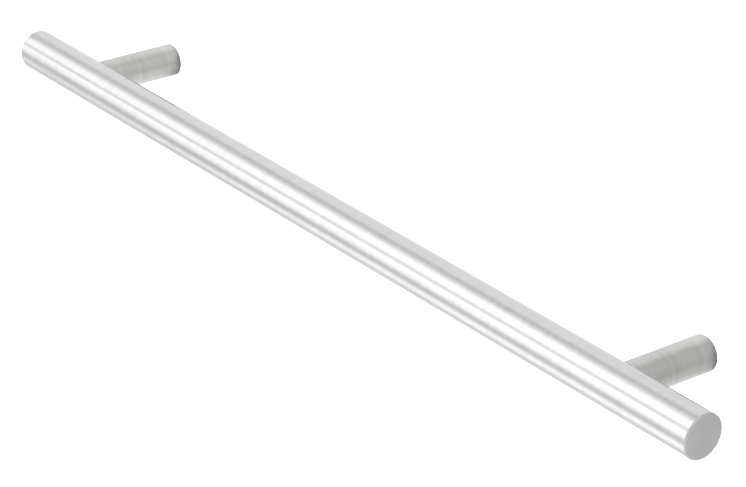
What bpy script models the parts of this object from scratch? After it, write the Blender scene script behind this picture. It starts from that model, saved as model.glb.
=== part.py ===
# T bar cabinet pull: a solid round bar held off the door by two turned posts. Each post is coped to
# the bar at one end and joined to it by a headless threaded stud, driven through the post's bore.
# The bar lies along X with its axis level with the posts' axes, +Y runs from the bar into the door,
# and the posts' mounting ends stand in the plane y = 0, on either side of the origin. Metres.

import math

import bpy

# Driving dimensions
HOLE_CENTRES = 0.192
BAR_OVERHANG = 0.025
BAR_DIAMETER = 0.010
BAR_END_CHAMFER = 0.00025
PROJECTION = 0.029
POST_DIAMETER = 0.008
POST_END_ROUNDING = 0.0003
THREAD_DIAMETER = 0.004
THREAD_MOUTH_CHAMFER = 0.0004
BAR_HOLE_DEPTH = 0.006
DRILL_POINT_ANGLE = math.radians(118)
STUD_LENGTH = 0.012
STUD_END_CHAMFER = 0.0005
SOCKET_ACROSS_FLATS = 0.002
SOCKET_DEPTH = 0.0022

# Clearances
SADDLE_CLEARANCE = 0.0003
THREAD_CLEARANCE = 0.0003
STUD_END_CLEARANCE = 0.0003

# Facets round each turned form
BAR_STEPS = 96
POST_STEPS = 96
THREAD_STEPS = 48
HEXAGON_STEPS = 6
ROUNDING_STEPS = 6
SHARP_ANGLE = math.radians(25)

# Worked out from the sizes above
BAR_LENGTH = HOLE_CENTRES + 2 * BAR_OVERHANG
BAR_RADIUS = BAR_DIAMETER / 2
POST_RADIUS = POST_DIAMETER / 2
THREAD_RADIUS = THREAD_DIAMETER / 2
BAR_AXIS_Y = BAR_RADIUS - PROJECTION
BAR_CROWN_Y = BAR_AXIS_Y + BAR_RADIUS
STUD_RADIUS = THREAD_RADIUS - THREAD_CLEARANCE
STUD_FOOT_Y = BAR_CROWN_Y - BAR_HOLE_DEPTH + STUD_END_CLEARANCE
STUD_HEAD_Y = STUD_FOOT_Y + STUD_LENGTH
CUT_OVERRUN = BAR_DIAMETER

# Turning axes: a profile is drawn about its own Z axis, then laid along the bar or the posts
ALONG_BAR = (0, math.pi / 2, 0)
ALONG_POST = (-math.pi / 2, 0, 0)

SIDES = {"left": -HOLE_CENTRES / 2, "right": HOLE_CENTRES / 2}


def clear_scene():
    for obj in list(bpy.data.objects):
        bpy.data.objects.remove(obj, do_unlink=True)


def new_collection(name):
    collection = bpy.data.collections.new(name)
    bpy.context.scene.collection.children.link(collection)
    return collection


def steel(name, colour, roughness):
    material = bpy.data.materials.new(name)
    material.use_nodes = True
    surface = material.node_tree.nodes["Principled BSDF"]
    surface.inputs["Base Color"].default_value = (*colour, 1)
    surface.inputs["Metallic"].default_value = 1
    surface.inputs["Roughness"].default_value = roughness
    return material


def turn(name, profile, steps, place, rotation, collection, closed=False):
    """Turns a profile of (radius, height) points, listed from the top down its outer side."""
    points = [(radius, 0, height) for radius, height in profile]
    edges = [(i, i + 1) for i in range(len(points) - 1)]
    if closed:
        edges.append((len(points) - 1, 0))
    outline = bpy.data.meshes.new(name)
    outline.from_pydata(points, edges, [])
    obj = bpy.data.objects.new(name, outline)
    collection.objects.link(obj)
    obj.location = place
    obj.rotation_euler = rotation
    screw = obj.modifiers.new("Turned", "SCREW")
    screw.axis = "Z"
    screw.steps = steps
    screw.render_steps = steps
    screw.use_merge_vertices = True
    screw.merge_threshold = 1e-6
    return obj


def cut(obj, cutter, name):
    cutter.hide_render = True
    cutter.display_type = "WIRE"
    boolean = obj.modifiers.new(name, "BOOLEAN")
    boolean.operation = "DIFFERENCE"
    boolean.solver = "EXACT"
    boolean.object = cutter


def finish(obj, material):
    """Keeps the cut shape as the piece's own mesh, shaded round between its true edges."""
    bpy.context.view_layer.update()
    graph = bpy.context.evaluated_depsgraph_get()
    solid = bpy.data.meshes.new_from_object(obj.evaluated_get(graph))
    obj.modifiers.clear()
    obj.data = solid
    solid.name = obj.name
    solid.shade_smooth()
    solid.set_sharp_from_angle(angle=SHARP_ANGLE)
    solid.materials.clear()
    solid.materials.append(material)


def rounded_corner(outer_radius, top, rounding):
    """Quarter round between an end face at height top and the wall at outer_radius."""
    points = []
    for i in range(ROUNDING_STEPS + 1):
        angle = math.pi / 2 * i / ROUNDING_STEPS
        radius = outer_radius - rounding + rounding * math.sin(angle)
        height = top - rounding + rounding * math.cos(angle)
        points.append((radius, height))
    return points


def drilled_hole(name, place, collection):
    """Cutter for a blind hole in the back of the bar, with the cone that a twist drill leaves."""
    floor = -BAR_HOLE_DEPTH
    tip = floor - THREAD_RADIUS / math.tan(DRILL_POINT_ANGLE / 2)
    profile = [(0, CUT_OVERRUN), (THREAD_RADIUS, CUT_OVERRUN), (THREAD_RADIUS, floor), (0, tip)]
    return turn(name, profile, THREAD_STEPS, place, ALONG_POST, collection)


def grip_bar(parts, cutters, material):
    """Solid round bar, faced and chamfered at both ends, with a tapped hole behind each post."""
    end = BAR_LENGTH / 2
    face_radius = BAR_RADIUS - BAR_END_CHAMFER
    profile = [
        (0, end),
        (face_radius, end),
        (BAR_RADIUS, end - BAR_END_CHAMFER),
        (BAR_RADIUS, BAR_END_CHAMFER - end),
        (face_radius, -end),
        (0, -end),
    ]
    bar = turn("grip_bar", profile, BAR_STEPS, (0, BAR_AXIS_Y, 0), ALONG_BAR, parts)
    for side, x in SIDES.items():
        hole = drilled_hole(f"bar_hole_{side}", (x, BAR_CROWN_Y, 0), cutters)
        cut(bar, hole, f"Tapped hole {side}")
    finish(bar, material)


def post(side, x, parts, cutters, material):
    """Turned post: rounded at the mounting end, bored right through, and coped to fit the bar."""
    mouth_radius = THREAD_RADIUS + THREAD_MOUTH_CHAMFER
    profile = [(mouth_radius, 0)]
    profile += rounded_corner(POST_RADIUS, 0, POST_END_ROUNDING)
    profile += [
        (POST_RADIUS, BAR_AXIS_Y),
        (THREAD_RADIUS, BAR_AXIS_Y),
        (THREAD_RADIUS, -THREAD_MOUTH_CHAMFER),
    ]
    body = turn(f"post_{side}", profile, POST_STEPS, (x, 0, 0), ALONG_POST, parts, closed=True)

    saddle_radius = BAR_RADIUS + SADDLE_CLEARANCE
    reach = POST_RADIUS + CUT_OVERRUN
    outline = [(0, reach), (saddle_radius, reach), (saddle_radius, -reach), (0, -reach)]
    place = (x, BAR_AXIS_Y, 0)
    saddle = turn(f"saddle_{side}", outline, BAR_STEPS, place, ALONG_BAR, cutters)
    cut(body, saddle, "Saddle")
    finish(body, material)


def stud(side, x, parts, cutters, material):
    """Headless stud, chamfered at both ends, with a hex socket that faces the mounting end."""
    tip_radius = STUD_RADIUS - STUD_END_CHAMFER
    profile = [
        (0, 0),
        (tip_radius, 0),
        (STUD_RADIUS, -STUD_END_CHAMFER),
        (STUD_RADIUS, STUD_END_CHAMFER - STUD_LENGTH),
        (tip_radius, -STUD_LENGTH),
        (0, -STUD_LENGTH),
    ]
    place = (x, STUD_HEAD_Y, 0)
    body = turn(f"stud_{side}", profile, THREAD_STEPS, place, ALONG_POST, parts)

    corner = SOCKET_ACROSS_FLATS / math.sqrt(3)
    tip = -SOCKET_DEPTH - corner / math.tan(DRILL_POINT_ANGLE / 2)
    outline = [(0, CUT_OVERRUN), (corner, CUT_OVERRUN), (corner, -SOCKET_DEPTH), (0, tip)]
    socket = turn(f"socket_{side}", outline, HEXAGON_STEPS, place, ALONG_POST, cutters)
    cut(body, socket, "Hex socket")
    finish(body, material)


def build():
    clear_scene()
    parts = new_collection("T bar cabinet pull")
    cutters = new_collection("Cutters")
    grip_bar(parts, cutters, steel("Bar satin stainless", (0.72, 0.72, 0.70), 0.28))
    post_steel = steel("Post satin stainless", (0.62, 0.62, 0.60), 0.34)
    stud_steel = steel("Stud plain steel", (0.50, 0.50, 0.49), 0.40)
    for side, x in SIDES.items():
        post(side, x, parts, cutters, post_steel)
        stud(side, x, parts, cutters, stud_steel)


build()
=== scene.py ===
import math

import bmesh
import bpy
from mathutils import Matrix, Vector


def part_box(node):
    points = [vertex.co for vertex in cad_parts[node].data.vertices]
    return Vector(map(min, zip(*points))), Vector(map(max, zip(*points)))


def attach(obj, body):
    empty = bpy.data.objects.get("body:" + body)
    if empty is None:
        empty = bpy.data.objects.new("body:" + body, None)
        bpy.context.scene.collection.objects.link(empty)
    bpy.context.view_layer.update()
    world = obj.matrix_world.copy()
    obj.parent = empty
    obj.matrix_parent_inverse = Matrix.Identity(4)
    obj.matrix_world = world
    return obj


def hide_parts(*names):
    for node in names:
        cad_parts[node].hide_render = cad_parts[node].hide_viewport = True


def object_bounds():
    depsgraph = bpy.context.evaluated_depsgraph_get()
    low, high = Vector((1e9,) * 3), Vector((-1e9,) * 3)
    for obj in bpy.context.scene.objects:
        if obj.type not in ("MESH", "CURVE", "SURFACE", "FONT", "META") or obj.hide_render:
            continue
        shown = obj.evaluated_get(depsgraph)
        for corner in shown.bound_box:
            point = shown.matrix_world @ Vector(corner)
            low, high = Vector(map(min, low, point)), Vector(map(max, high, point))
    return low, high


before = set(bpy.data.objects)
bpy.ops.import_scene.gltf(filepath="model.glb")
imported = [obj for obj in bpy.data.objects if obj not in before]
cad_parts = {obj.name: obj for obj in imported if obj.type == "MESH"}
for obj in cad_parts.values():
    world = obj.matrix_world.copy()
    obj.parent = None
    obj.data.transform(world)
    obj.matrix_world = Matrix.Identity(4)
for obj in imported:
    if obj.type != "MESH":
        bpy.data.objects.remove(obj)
cad_low, cad_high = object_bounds()


# Grip bar. A solid round stainless bar, sawn to length, then faced and chamfered at both ends.
# A fine belt has been run round and round it, so the marks go round the bar and its highlights
# stay crisp along it. A blind hole, tapped for the stud, goes into its back behind each post.
bar_low, bar_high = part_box("grip_bar")
BAR_RADIUS = (bar_high.z - bar_low.z) / 2
BAR_LENGTH = bar_high.x - bar_low.x
BAR_AXIS_Y = bar_low.y + BAR_RADIUS
BAR_BACK_Y = BAR_AXIS_Y + BAR_RADIUS
BAR_FACETS = 256
BAR_CHAMFER = 0.00025
EASED_EDGE = 0.00006
EASED_STEPS = 3

THREAD_RADIUS = 0.0020
THREAD_ROOT_RADIUS = 0.00165
THREAD_PITCH = 0.0007
THREAD_ROOT_FLAT = 0.15
THREAD_FLANK = 0.65
THREAD_FACETS = 64
RINGS_A_PITCH = 8
THREAD_PLAY = 0.00002
BAR_HOLE_DEPTH = 0.006
DRILL_POINT_HEIGHT = 0.0012

ROUND_ANGLE = math.radians(30)
MANY_SIDES = 32
SLIVER = 0.000001
SAME_PLACE = 0.000001
SQUARE_TO_AXIS = 0.999
SIDE_OF_BAR = 0.01
ALONG_X = Matrix.Rotation(math.pi / 2, 3, "Y")
ALONG_Y = Matrix.Rotation(-math.pi / 2, 3, "X")

BAR_STEEL = (0.655, 0.659, 0.656)
EDGE_STEEL = (0.585, 0.585, 0.585)
FACED_STEEL = (0.660, 0.660, 0.660)
THREAD_STEEL = (0.50, 0.50, 0.49)
FACED_ROUGHNESS = 0.34
FACED_RING = 0.00012

NOISE_LOW = 0.3
NOISE_HIGH = 0.7
QUARTER_TURN = 0.25
MARK_DETAIL = 3
MARK_HARSHNESS = 0.7
MARK_DEPTH = 0.000004
MARK_STRENGTH = 0.5
MARK_SHADE = 0.05
MARK_GLOSS = 0.05
CLOUD_GLOSS = 0.02


def wire(tree, source, target):
    tree.links.new(source, target)


def math_node(tree, operation, first, second=None):
    node = tree.nodes.new("ShaderNodeMath")
    node.operation = operation
    for socket, value in zip(node.inputs, (first, second)):
        if isinstance(value, bpy.types.NodeSocket):
            wire(tree, value, socket)
        elif value is not None:
            socket.default_value = value
    return node.outputs[0]


def range_node(tree, value, low, high, to_low, to_high, smooth=False):
    node = tree.nodes.new("ShaderNodeMapRange")
    node.interpolation_type = "SMOOTHSTEP" if smooth else "LINEAR"
    wire(tree, value, node.inputs["Value"])
    node.inputs["From Min"].default_value = low
    node.inputs["From Max"].default_value = high
    node.inputs["To Min"].default_value = to_low
    node.inputs["To Max"].default_value = to_high
    return node.outputs["Result"]


def noise_node(tree, vector, detail=2, harshness=0.5):
    node = tree.nodes.new("ShaderNodeTexNoise")
    node.inputs["Scale"].default_value = 1
    node.inputs["Detail"].default_value = detail
    node.inputs["Roughness"].default_value = harshness
    wire(tree, vector, node.inputs["Vector"])
    return node.outputs["Fac"]


def around_value(tree, noise, middle, reach):
    """Turns a noise into values that go about as far as the reach on both sides of the middle."""
    return range_node(tree, noise, NOISE_LOW, NOISE_HIGH, middle - reach, middle + reach)


def marked(tree, surface, height):
    """Gives the surface the fine relief of its tool marks."""
    bump = tree.nodes.new("ShaderNodeBump")
    bump.inputs["Strength"].default_value = MARK_STRENGTH
    bump.inputs["Distance"].default_value = MARK_DEPTH
    wire(tree, height, bump.inputs["Height"])
    wire(tree, bump.outputs["Normal"], surface.inputs["Normal"])


def object_place(tree, centre, sizes):
    """Place on the piece from a centre, in units of a pattern's size along each axis."""
    coordinates = tree.nodes.new("ShaderNodeTexCoord")
    mapping = tree.nodes.new("ShaderNodeMapping")
    mapping.vector_type = "POINT"
    wire(tree, coordinates.outputs["Object"], mapping.inputs["Vector"])
    mapping.inputs["Scale"].default_value = [1 / size for size in sizes]
    mapping.inputs["Location"].default_value = [-c / size for c, size in zip(centre, sizes)]
    return mapping.outputs["Vector"]


def steel(name, colour, roughness, anisotropy, lathe_axis):
    """Bare steel whose marks run round the given axis. Returns its tree and its surface."""
    material = bpy.data.materials.new(name)
    material.use_nodes = True
    tree = material.node_tree
    surface = tree.nodes["Principled BSDF"]
    surface.inputs["Base Color"].default_value = (*colour, 1)
    surface.inputs["Metallic"].default_value = 1
    surface.inputs["Roughness"].default_value = roughness
    surface.inputs["Anisotropic"].default_value = anisotropy
    surface.inputs["Anisotropic Rotation"].default_value = QUARTER_TURN
    tangent = tree.nodes.new("ShaderNodeTangent")
    tangent.direction_type = "RADIAL"
    tangent.axis = lathe_axis
    wire(tree, tangent.outputs["Tangent"], surface.inputs["Tangent"])
    return material, tree, surface


def ground_steel(
    name,
    colour,
    roughness,
    anisotropy,
    lathe_axis,
    centre,
    mark_sizes,
    band_sizes,
    cloud_size,
    banding=0.03,
    corner=None,
):
    """Steel with fine grinding marks in faint bands, and clouds where the belt cut more or less.

    Banding is how far the bands go lighter and darker. A corner gives the Y where painted shade
    starts, the Y where it ends, and how dark the colour is painted in it.
    """
    material, tree, surface = steel(name, colour, roughness, anisotropy, lathe_axis)
    mark_place = object_place(tree, centre, mark_sizes)
    marks = noise_node(tree, mark_place, MARK_DETAIL, MARK_HARSHNESS)
    bands = noise_node(tree, object_place(tree, centre, band_sizes))
    clouds = noise_node(tree, object_place(tree, centre, [cloud_size] * 3))

    spread = around_value(tree, marks, roughness, MARK_GLOSS)
    cloudy = around_value(tree, clouds, 0, CLOUD_GLOSS)
    wire(tree, math_node(tree, "ADD", spread, cloudy), surface.inputs["Roughness"])

    fine_shade = around_value(tree, marks, 1, MARK_SHADE)
    band_shade = around_value(tree, bands, 1, banding)
    shade = math_node(tree, "MULTIPLY", fine_shade, band_shade)
    # Painted shade: over the given span of Y the colour darkens toward the bar, in place of the
    # bar's shade.
    if corner:
        start, end, painted_shade_level = corner
        place = tree.nodes.new("ShaderNodeSeparateXYZ")
        wire(tree, object_place(tree, (0, 0, 0), (1, 1, 1)), place.inputs[0])
        painted_shade = range_node(tree, place.outputs["Y"], start, end, painted_shade_level, 1, smooth=True)
        shade = math_node(tree, "MULTIPLY", shade, painted_shade)
    tint = tree.nodes.new("ShaderNodeVectorMath")
    tint.operation = "SCALE"
    tint.inputs[0].default_value = colour
    wire(tree, shade, tint.inputs["Scale"])
    wire(tree, tint.outputs["Vector"], surface.inputs["Base Color"])

    marked(tree, surface, marks)
    return material


def faced_steel(name, lathe_axis, centre):
    """Steel faced in a lathe: fine rings round the axis, each a slightly different height."""
    material, tree, surface = steel(
        name, FACED_STEEL, FACED_ROUGHNESS, anisotropy=0.15, lathe_axis=lathe_axis
    )
    place = object_place(tree, centre, [FACED_RING] * 3)
    flat = tree.nodes.new("ShaderNodeVectorMath")
    flat.operation = "MULTIPLY"
    flat.inputs[1].default_value = [0 if axis == lathe_axis else 1 for axis in "XYZ"]
    wire(tree, place, flat.inputs[0])
    radius = tree.nodes.new("ShaderNodeVectorMath")
    radius.operation = "LENGTH"
    wire(tree, flat.outputs["Vector"], radius.inputs[0])
    rings = tree.nodes.new("ShaderNodeTexNoise")
    rings.noise_dimensions = "1D"
    rings.inputs["Scale"].default_value = 1
    rings.inputs["Detail"].default_value = 2
    wire(tree, radius.outputs["Value"], rings.inputs["W"])

    spread = around_value(tree, rings.outputs["Fac"], FACED_ROUGHNESS, MARK_GLOSS)
    wire(tree, spread, surface.inputs["Roughness"])
    marked(tree, surface, rings.outputs["Fac"])
    return material


def round_blank(radius, length, facets):
    """Round blank along Z, with its foot at zero."""
    bm = bmesh.new()
    bmesh.ops.create_cone(
        bm, cap_ends=True, segments=facets, radius1=radius, radius2=radius, depth=length
    )
    bmesh.ops.translate(bm, verts=bm.verts, vec=(0, 0, length / 2))
    return bm


def rims(bm, height):
    """Edges that lie all round at one height."""
    return [e for e in bm.edges if all(abs(v.co.z - height) < SAME_PLACE for v in e.verts)]


def soften(bm, edges, width, segments):
    bmesh.ops.bevel(
        bm,
        geom=edges,
        offset=width,
        offset_type="OFFSET",
        segments=segments,
        profile=0.5,
        affect="EDGES",
        material=-1,
    )


def chamfer_end(bm, height, width):
    """Cuts a chamfer round one end, then eases the two edges that it leaves."""
    soften(bm, rims(bm, height), width, 1)
    inner = height - math.copysign(width, height) if height else width
    soften(bm, rims(bm, height) + rims(bm, inner), EASED_EDGE, EASED_STEPS)


def lay(bm, turn, place):
    bmesh.ops.rotate(bm, verts=bm.verts, cent=(0, 0, 0), matrix=turn)
    bmesh.ops.translate(bm, verts=bm.verts, vec=place)


def as_object(bm, name, *materials):
    bmesh.ops.recalc_face_normals(bm, faces=bm.faces)
    mesh = bpy.data.meshes.new(name)
    bm.to_mesh(mesh)
    bm.free()
    for material in materials:
        mesh.materials.append(material)
    obj = bpy.data.objects.new(name, mesh)
    bpy.context.scene.collection.objects.link(obj)
    return obj


def cut_away(obj, cutters):
    """Cuts the shapes out of the piece for good, cleans up slivers and removes the cutters."""
    for cutter in cutters:
        boolean = obj.modifiers.new(cutter.name, "BOOLEAN")
        boolean.operation = "DIFFERENCE"
        boolean.solver = "EXACT"
        boolean.material_mode = "TRANSFER"
        boolean.object = cutter
    bpy.context.view_layer.update()
    graph = bpy.context.evaluated_depsgraph_get()
    solid = bpy.data.meshes.new_from_object(obj.evaluated_get(graph))
    bm = bmesh.new()
    bm.from_mesh(solid)
    bmesh.ops.dissolve_degenerate(bm, edges=bm.edges, dist=SLIVER)
    bm.to_mesh(solid)
    bm.free()
    obj.modifiers.clear()
    obj.data = solid
    solid.name = obj.name
    for cutter in cutters:
        bpy.data.objects.remove(cutter)


def shade_round(obj):
    """Shades the piece round between its true edges, and its flat ends flat up to their rims."""
    mesh = obj.data
    mesh.shade_smooth()
    mesh.set_sharp_from_angle(angle=ROUND_ANGLE)
    for polygon in mesh.polygons:
        if polygon.loop_total > MANY_SIDES:
            for index in polygon.loop_indices:
                mesh.edges[mesh.loops[index].edge_index].use_edge_sharp = True


def thread_height(angle, along):
    """How far the thread stands at this turn and place, from 0 in the root to 1 on the crest."""
    turn = (along / THREAD_PITCH - angle / (2 * math.pi)) % 1
    return min(1, max(0, (abs(2 * turn - 1) - THREAD_ROOT_FLAT) / THREAD_FLANK))


def threaded(foot, head, play, tip=0.0, end_chamfer=0.0):
    """Round form along Z from foot to head, whose wall rises and falls along a helix.

    Play moves the wall out, tip is the height of the cone that a drill leaves below the foot.
    """
    bm = round_blank(THREAD_RADIUS, head - foot, THREAD_FACETS)
    bmesh.ops.translate(bm, verts=bm.verts, vec=(0, 0, foot))
    upright = [e for e in bm.edges if abs(e.verts[0].co.z - e.verts[1].co.z) > SAME_PLACE]
    rings = int((head - foot) / THREAD_PITCH * RINGS_A_PITCH)
    bmesh.ops.subdivide_edges(bm, edges=upright, cuts=rings, use_grid_fill=True)
    for v in bm.verts:
        angle = math.atan2(v.co.y, v.co.x)
        rise = (THREAD_RADIUS - THREAD_ROOT_RADIUS) * thread_height(angle, v.co.z)
        radius = THREAD_ROOT_RADIUS + rise + play
        if end_chamfer:
            from_end = min(v.co.z - foot, head - v.co.z)
            radius = min(radius, THREAD_RADIUS - end_chamfer + from_end)
        v.co.x = radius * math.cos(angle)
        v.co.y = radius * math.sin(angle)
    if tip:
        floors = [f for f in bm.faces if f.calc_center_median().z < foot + SAME_PLACE]
        centre = bmesh.ops.poke(bm, faces=floors)["verts"][0]
        centre.co = (0, 0, foot - tip)
    return bm


post_places = {}
for side in ("left", "right"):
    low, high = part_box(f"post_{side}")
    post_places[side] = (low.x + high.x) / 2

bar_ground = ground_steel(
    "bar_ground_steel",
    BAR_STEEL,
    roughness=0.22,
    anisotropy=0.75,
    lathe_axis="X",
    centre=(0, BAR_AXIS_Y, 0),
    mark_sizes=(0.00016, 0.005, 0.005),
    band_sizes=(0.0022, 0.05, 0.05),
    cloud_size=0.012,
)
bar_edge = ground_steel(
    "bar_edge_steel",
    EDGE_STEEL,
    roughness=0.80,
    anisotropy=0,
    lathe_axis="X",
    centre=(0, BAR_AXIS_Y, 0),
    mark_sizes=(0.0001, 0.002, 0.002),
    band_sizes=(0.01, 0.01, 0.01),
    cloud_size=0.004,
)
bar_faced = faced_steel("bar_faced_steel", "X", (0, BAR_AXIS_Y, 0))
thread_cut = ground_steel(
    "cut_thread_steel",
    THREAD_STEEL,
    roughness=0.35,
    anisotropy=0.3,
    lathe_axis="Y",
    centre=(0, 0, 0),
    mark_sizes=(0.0012, 0.0001, 0.0012),
    band_sizes=(0.01, 0.0007, 0.01),
    cloud_size=0.002,
)

bm = round_blank(BAR_RADIUS, BAR_LENGTH, BAR_FACETS)
chamfer_end(bm, 0, BAR_CHAMFER)
chamfer_end(bm, BAR_LENGTH, BAR_CHAMFER)
for face in bm.faces:
    lean = abs(face.normal.z)
    face.material_index = 1 if lean > SQUARE_TO_AXIS else 2 if lean > SIDE_OF_BAR else 0
lay(bm, ALONG_X, (-BAR_LENGTH / 2, BAR_AXIS_Y, 0))
bar = as_object(bm, "bar_finished", bar_ground, bar_faced, bar_edge)

holes = []
for side, x in post_places.items():
    floor = BAR_BACK_Y - BAR_HOLE_DEPTH
    bm = threaded(floor, BAR_BACK_Y + THREAD_RADIUS, THREAD_PLAY, tip=DRILL_POINT_HEIGHT)
    lay(bm, ALONG_Y, (x, 0, 0))
    holes.append(as_object(bm, f"bar_hole_{side}", thread_cut))
cut_away(bar, holes)
shade_round(bar)
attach(bar, "root")
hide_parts("grip_bar")


# Posts. Each is turned from round stainless bar: the mounting end is faced and its edge rounded,
# the bore is tapped right through, and the other end is coped to sit tight on the back of the
# grip bar. The turned side is duller than the bar, in rings that show. Toward the bar its colour
# is darkened with painted shade, where the bar shades it.
POST_ROUNDING = 0.0003
POST_ROUNDING_STEPS = 8
POST_FACETS = 192
SADDLE_GAP = 0.00002
MOUTH_CHAMFER = 0.0004
MOUNTING_FACE = 0.99
# Painted shade on each post's side near the bar: between these two Y the colour darkens to the
# level below.
CORNER_START = -0.0150
CORNER_END = -0.0035
CORNER_PAINTED_SHADE = 0.91
POST_STEEL = (0.653, 0.648, 0.634)

for side, x in post_places.items():
    low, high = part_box(f"post_{side}")
    radius = (high.x - low.x) / 2
    turned = ground_steel(
        f"post_{side}_turned_steel",
        POST_STEEL,
        roughness=0.38,
        anisotropy=0.78,
        lathe_axis="Y",
        centre=(x, 0, 0),
        mark_sizes=(0.004, 0.00016, 0.004),
        band_sizes=(0.012, 0.0009, 0.012),
        cloud_size=0.008,
        banding=0.06,
        corner=(CORNER_START, CORNER_END, CORNER_PAINTED_SHADE),
    )
    faced = faced_steel(f"post_{side}_faced_steel", "Y", (x, 0, 0))

    bm = round_blank(radius, high.y - BAR_AXIS_Y, POST_FACETS)
    bmesh.ops.translate(bm, verts=bm.verts, vec=(0, 0, BAR_AXIS_Y))
    soften(bm, rims(bm, high.y), POST_ROUNDING, POST_ROUNDING_STEPS)
    for face in bm.faces:
        face.material_index = 1 if face.normal.z > MOUNTING_FACE else 0
    lay(bm, ALONG_Y, (x, 0, 0))
    post = as_object(bm, f"post_{side}_finished", turned, faced)

    bm = round_blank(BAR_RADIUS + SADDLE_GAP, 4 * radius, BAR_FACETS)
    lay(bm, ALONG_X, (x - 2 * radius, BAR_AXIS_Y, 0))
    saddle = as_object(bm, f"saddle_{side}", turned)

    bm = threaded(BAR_AXIS_Y - THREAD_RADIUS, high.y + THREAD_RADIUS, THREAD_PLAY)
    lay(bm, ALONG_Y, (x, 0, 0))
    bore = as_object(bm, f"bore_{side}", thread_cut)

    mouth = THREAD_RADIUS + MOUTH_CHAMFER
    bm = bmesh.new()
    bmesh.ops.create_cone(
        bm, cap_ends=True, segments=POST_FACETS, radius1=0, radius2=2 * mouth, depth=2 * mouth
    )
    lay(bm, ALONG_Y, (x, high.y, 0))
    countersink = as_object(bm, f"countersink_{side}", faced)

    cut_away(post, [saddle, bore, countersink])
    shade_round(post)
    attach(post, "root")
    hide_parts(f"post_{side}")


# Studs. Headless threaded studs of plain stainless steel, with a hex socket in the end that faces
# the door. Each is driven through its post's bore into the bar with a hexagon key, and pulls the
# coped end of the post down on the bar.
STUD_STEEL = (0.56, 0.56, 0.55)
STUD_END_CHAMFER = 0.0005
SOCKET_SIDES = 6
SOCKET_CORNER = 0.002 / math.sqrt(3)
SOCKET_DEPTH = 0.0022

stud_steel = ground_steel(
    "stud_plain_steel",
    STUD_STEEL,
    roughness=0.32,
    anisotropy=0.3,
    lathe_axis="Y",
    centre=(0, 0, 0),
    mark_sizes=(0.0012, 0.0001, 0.0012),
    band_sizes=(0.01, 0.0007, 0.01),
    cloud_size=0.002,
)

for side, x in post_places.items():
    low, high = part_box(f"stud_{side}")
    bm = threaded(low.y, high.y, -THREAD_PLAY, end_chamfer=STUD_END_CHAMFER)
    lay(bm, ALONG_Y, (x, 0, 0))
    stud = as_object(bm, f"stud_{side}_finished", stud_steel)

    bm = round_blank(SOCKET_CORNER, 2 * SOCKET_DEPTH, SOCKET_SIDES)
    lay(bm, ALONG_Y, (x, high.y - SOCKET_DEPTH, 0))
    cut_away(stud, [as_object(bm, f"socket_{side}", stud_steel)])
    shade_round(stud)
    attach(stud, "root")
    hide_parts(f"stud_{side}")


# Floor and backdrop. A plain near-white floor that the pull lies on, lit until it is almost clear
# of shadow, and a plain white dome round it, which only the camera sees, for low views.
FLOOR_HALF_WIDTH = 20.0
FLOOR_SHADE = 0.9
FLOOR_GLOW = 0.85
DOME_RADIUS = 8.0


def plain_paint(name, shade, roughness=1.0, glow=0.0):
    """Grey paint that may glow white. Returns the material and its surface."""
    material = bpy.data.materials.new(name)
    material.use_nodes = True
    paint = material.node_tree.nodes["Principled BSDF"]
    paint.inputs["Base Color"].default_value = (shade, shade, shade, 1)
    paint.inputs["Roughness"].default_value = roughness
    paint.inputs["Emission Color"].default_value = (1, 1, 1, 1)
    paint.inputs["Emission Strength"].default_value = glow
    return material, paint


bm = bmesh.new()
bmesh.ops.create_grid(bm, x_segments=1, y_segments=1, size=FLOOR_HALF_WIDTH)
bmesh.ops.translate(bm, verts=bm.verts, vec=(0, 0, cad_low.z))
floor_paint, paint = plain_paint("floor_paint", FLOOR_SHADE, roughness=0.9, glow=FLOOR_GLOW)
floor = as_object(bm, "floor", floor_paint)
floor.visible_glossy = False
floor.visible_diffuse = False

bm = bmesh.new()
bmesh.ops.create_icosphere(bm, subdivisions=3, radius=DOME_RADIUS)
dome_paint, paint = plain_paint("dome_paint", 0.0, glow=1.0)
paint.inputs["Specular IOR Level"].default_value = 0
dome = as_object(bm, "backdrop_dome", dome_paint)
dome.visible_glossy = False
dome.visible_diffuse = False
dome.visible_shadow = False


# Shades behind the posts. Two dark cards at each mounting end, seen only in the steel: what a
# surface close behind the posts draws on their sides. A narrow fringe darkens the last few
# millimetres, and a wider soft card, dark only toward the lower right, fades along the side.
SHADE_TONE = 0.15
SHADE_SIDES = 96
FRINGE_PLACE = cad_high.y + 0.0001
FRINGE_INNER = 0.00405
FRINGE_WIDTH = 0.00002
FRINGE_REACH = 0.0034
FRINGE_SIDE = Vector((0.98, -0.20, 0.0))
SOFT_PLACE = cad_high.y + 0.0002
SOFT_REACH = 0.016
SOFT_SIDE = (0.707, 0.0, -0.707)
SOFT_START = 0.25
SOFT_DEPTH = {"left": 0.90, "right": 0.45}

fringe_paint, paint = plain_paint("shade_paint", SHADE_TONE)


def soft_paint(side, x, depth):
    """Dark paint that is clear on three sides, and fades from the post outward on the fourth."""
    material, paint = plain_paint(f"soft_shade_{side}_paint", SHADE_TONE)
    tree = material.node_tree
    place = object_place(tree, (x, 0, 0), [SOFT_REACH] * 3)
    from_post = tree.nodes.new("ShaderNodeVectorMath")
    from_post.operation = "LENGTH"
    wire(tree, place, from_post.inputs[0])
    outward = tree.nodes.new("ShaderNodeVectorMath")
    outward.operation = "NORMALIZE"
    wire(tree, place, outward.inputs[0])
    facing = tree.nodes.new("ShaderNodeVectorMath")
    facing.operation = "DOT_PRODUCT"
    facing.inputs[1].default_value = SOFT_SIDE
    wire(tree, outward.outputs["Vector"], facing.inputs[0])
    toward = math_node(tree, "POWER", math_node(tree, "MAXIMUM", facing.outputs["Value"], 0), 2)
    fading = range_node(tree, from_post.outputs["Value"], SOFT_START, 1, depth, 0)
    wire(tree, math_node(tree, "MULTIPLY", toward, fading), paint.inputs["Alpha"])
    return material


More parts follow.
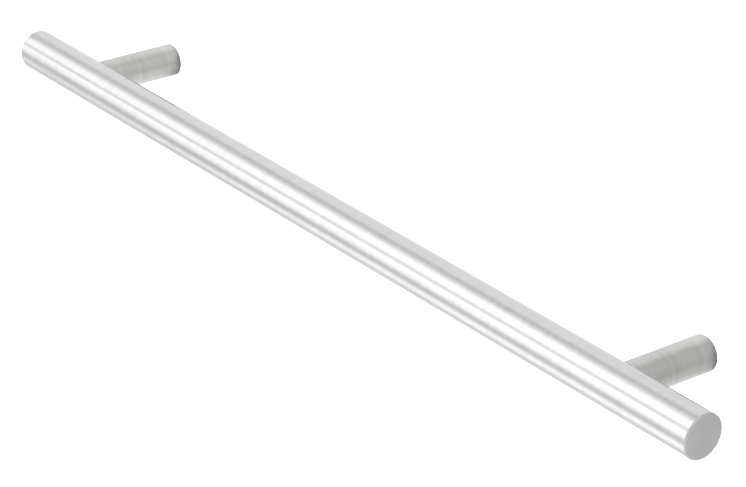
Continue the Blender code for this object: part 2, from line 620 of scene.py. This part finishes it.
for side, x in post_places.items():
    bm = bmesh.new()
    outer = bmesh.ops.create_circle(bm, segments=SHADE_SIDES, radius=1)["verts"]
    for v in outer:
        facing = max(0, v.co.dot(FRINGE_SIDE))
        v.co *= FRINGE_INNER + FRINGE_WIDTH + FRINGE_REACH * facing**3
    bmesh.ops.create_circle(bm, segments=SHADE_SIDES, radius=FRINGE_INNER)
    bmesh.ops.bridge_loops(bm, edges=bm.edges[:])
    lay(bm, ALONG_Y, (x, FRINGE_PLACE, 0))
    fringe = as_object(bm, f"shade_{side}", fringe_paint)

    bm = bmesh.new()
    bmesh.ops.create_circle(bm, cap_ends=True, segments=SHADE_SIDES, radius=SOFT_REACH)
    lay(bm, ALONG_Y, (x, SOFT_PLACE, 0))
    soft_shade = as_object(bm, f"soft_shade_{side}", soft_paint(side, x, SOFT_DEPTH[side]))

    for shade in (fringe, soft_shade):
        shade.visible_camera = False
        shade.visible_diffuse = False
        shade.visible_shadow = False


# Studio light. A soft tent with two long strip lights in front, side by side and parallel to the
# bar, and a third low down. Behind the posts, to the right, it falls away into shade. STRIPS goes
# round the bar by angle: 0 is level in front, 90 straight up, 180 level behind, -90 straight down.
LIGHT_STRENGTH = 1.8
STRIPS_MIDDLE = 38
STRIPS = (
    (-180, 0.99),
    (-150, 1.00),
    (-122, 1.32),
    (-102, 0.94),
    (-90, 0.82),
    (-76, 1.04),
    (-62, 1.54),
    (-47, 1.44),
    (-36, 0.96),
    (-27, 0.80),
    (-17, 0.98),
    (-6, 1.45),
    (19, 1.70),
    (27, 1.03),
    (31, 1.03),
    (42, 1.60),
    (64, 1.60),
    (80, 1.04),
    (90, 0.83),
    (98, 0.72),
    (114, 1.03),
    (180, 0.99),
)
LEAN_BELOW = 0.3

# Where the tent changes with its direction. Each step has the way that it goes by, where the
# change starts and ends on it, the level before and after, and whether the change is smooth.
TENT_STEPS = {
    "narrowing": ("X", -0.80, -0.715, 0.87, 1.00, True),
    "toward_right": ("across", -0.50, 0.10, 0.00, 1.00, True),
    "behind": ("Y", 0.50, 0.66, 0.00, 0.86, False),
    "upward": ("Z", -0.60, -0.30, 0.85, 1.00, True),
    "well_behind": ("Y", 0.74, 0.86, 0.00, 0.30, True),
    "above": ("Z", 0.20, 0.45, 0.00, 1.00, True),
    "right_side": ("X", 0.10, 0.60, 0.00, 0.32, True),
    "before_shade": ("Y", 0.38, 0.54, 1.00, 0.00, True),
    "past_end_face": ("Y", 0.00, 0.20, 0.00, 1.00, True),
    "far_left": ("X", -0.80, -0.68, 1.00, 0.00, True),
    "in_front": ("Y", 0.00, 0.20, 1.00, 0.00, False),
    "low_down": ("Z", -0.45, -0.25, 0.28, 0.09, False),
}

world = bpy.data.worlds.new("studio_light")
bpy.context.scene.world = world
world.use_nodes = True
tree = world.node_tree
background = tree.nodes["Background"]
background.inputs["Strength"].default_value = LIGHT_STRENGTH


def product(*factors):
    result = factors[0]
    for factor in factors[1:]:
        result = math_node(tree, "MULTIPLY", result, factor)
    return result


def rest_of(value):
    return math_node(tree, "SUBTRACT", 1, value)


direction = tree.nodes.new("ShaderNodeTexCoord").outputs["Generated"]
parts = tree.nodes.new("ShaderNodeSeparateXYZ")
wire(tree, direction, parts.inputs[0])
ways = {axis: parts.outputs[axis] for axis in "XYZ"}
below = math_node(tree, "MINIMUM", ways["Z"], 0)
ways["across"] = math_node(tree, "ADD", ways["X"], product(below, LEAN_BELOW))
step = {name: range_node(tree, ways[way], *change) for name, (way, *change) in TENT_STEPS.items()}

around = math_node(tree, "ARCTAN2", ways["Z"], product(ways["Y"], -1))
from_middle = math_node(tree, "SUBTRACT", product(around, 180 / math.pi), STRIPS_MIDDLE)
degrees = math_node(tree, "ADD", product(from_middle, step["narrowing"]), STRIPS_MIDDLE)

ramp = tree.nodes.new("ShaderNodeValToRGB")
elements = ramp.color_ramp.elements
elements.remove(elements[1])
for index, (angle, level) in enumerate(STRIPS):
    position = (angle + 180) / 360
    element = elements.new(position) if index else elements[0]
    element.position = position
    tone = level / LIGHT_STRENGTH
    element.color = (tone, tone, tone, 1)
wire(tree, range_node(tree, degrees, -180, 180, 0, 1), ramp.inputs["Fac"])

open_top = product(step["well_behind"], step["above"])
shade = product(step["toward_right"], step["behind"], step["upward"], rest_of(open_top))
lift = product(step["right_side"], step["before_shade"], step["past_end_face"])
falloff = product(step["far_left"], step["in_front"], step["low_down"])
lit = product(math_node(tree, "ADD", rest_of(shade), lift), rest_of(falloff))

light = tree.nodes.new("ShaderNodeVectorMath")
light.operation = "SCALE"
wire(tree, ramp.outputs["Color"], light.inputs[0])
wire(tree, lit, light.inputs["Scale"])
wire(tree, light.outputs["Vector"], background.inputs["Color"])

bpy.context.scene.view_settings.view_transform = "Standard"


# Camera. It stands to the right of the pull and above it, with a long lens, rolled a little.
CAMERA_AIM = Vector((0.01702, -0.02370, 0.0))
CAMERA_DISTANCE = 0.6101
CAMERA_AZIMUTH = math.radians(51.87)
CAMERA_ELEVATION = math.radians(25.90)
CAMERA_ROLL = math.radians(1.11)
CAMERA_LENS = 135.4
CAMERA_SENSOR = 36
CAMERA_NEAREST = 0.01

back = Vector(
    (
        math.sin(CAMERA_AZIMUTH) * math.cos(CAMERA_ELEVATION),
        -math.cos(CAMERA_AZIMUTH) * math.cos(CAMERA_ELEVATION),
        math.sin(CAMERA_ELEVATION),
    )
)
camera = bpy.data.objects.new("camera", bpy.data.cameras.new("camera"))
bpy.context.scene.collection.objects.link(camera)
camera.data.lens = CAMERA_LENS
camera.data.sensor_width = CAMERA_SENSOR
camera.data.clip_start = CAMERA_NEAREST
camera.location = CAMERA_AIM + back * CAMERA_DISTANCE
level_camera = (-back).to_track_quat("-Z", "Y").to_matrix()
camera.rotation_euler = (level_camera @ Matrix.Rotation(CAMERA_ROLL, 3, "Z")).to_euler()
bpy.context.scene.camera = camera
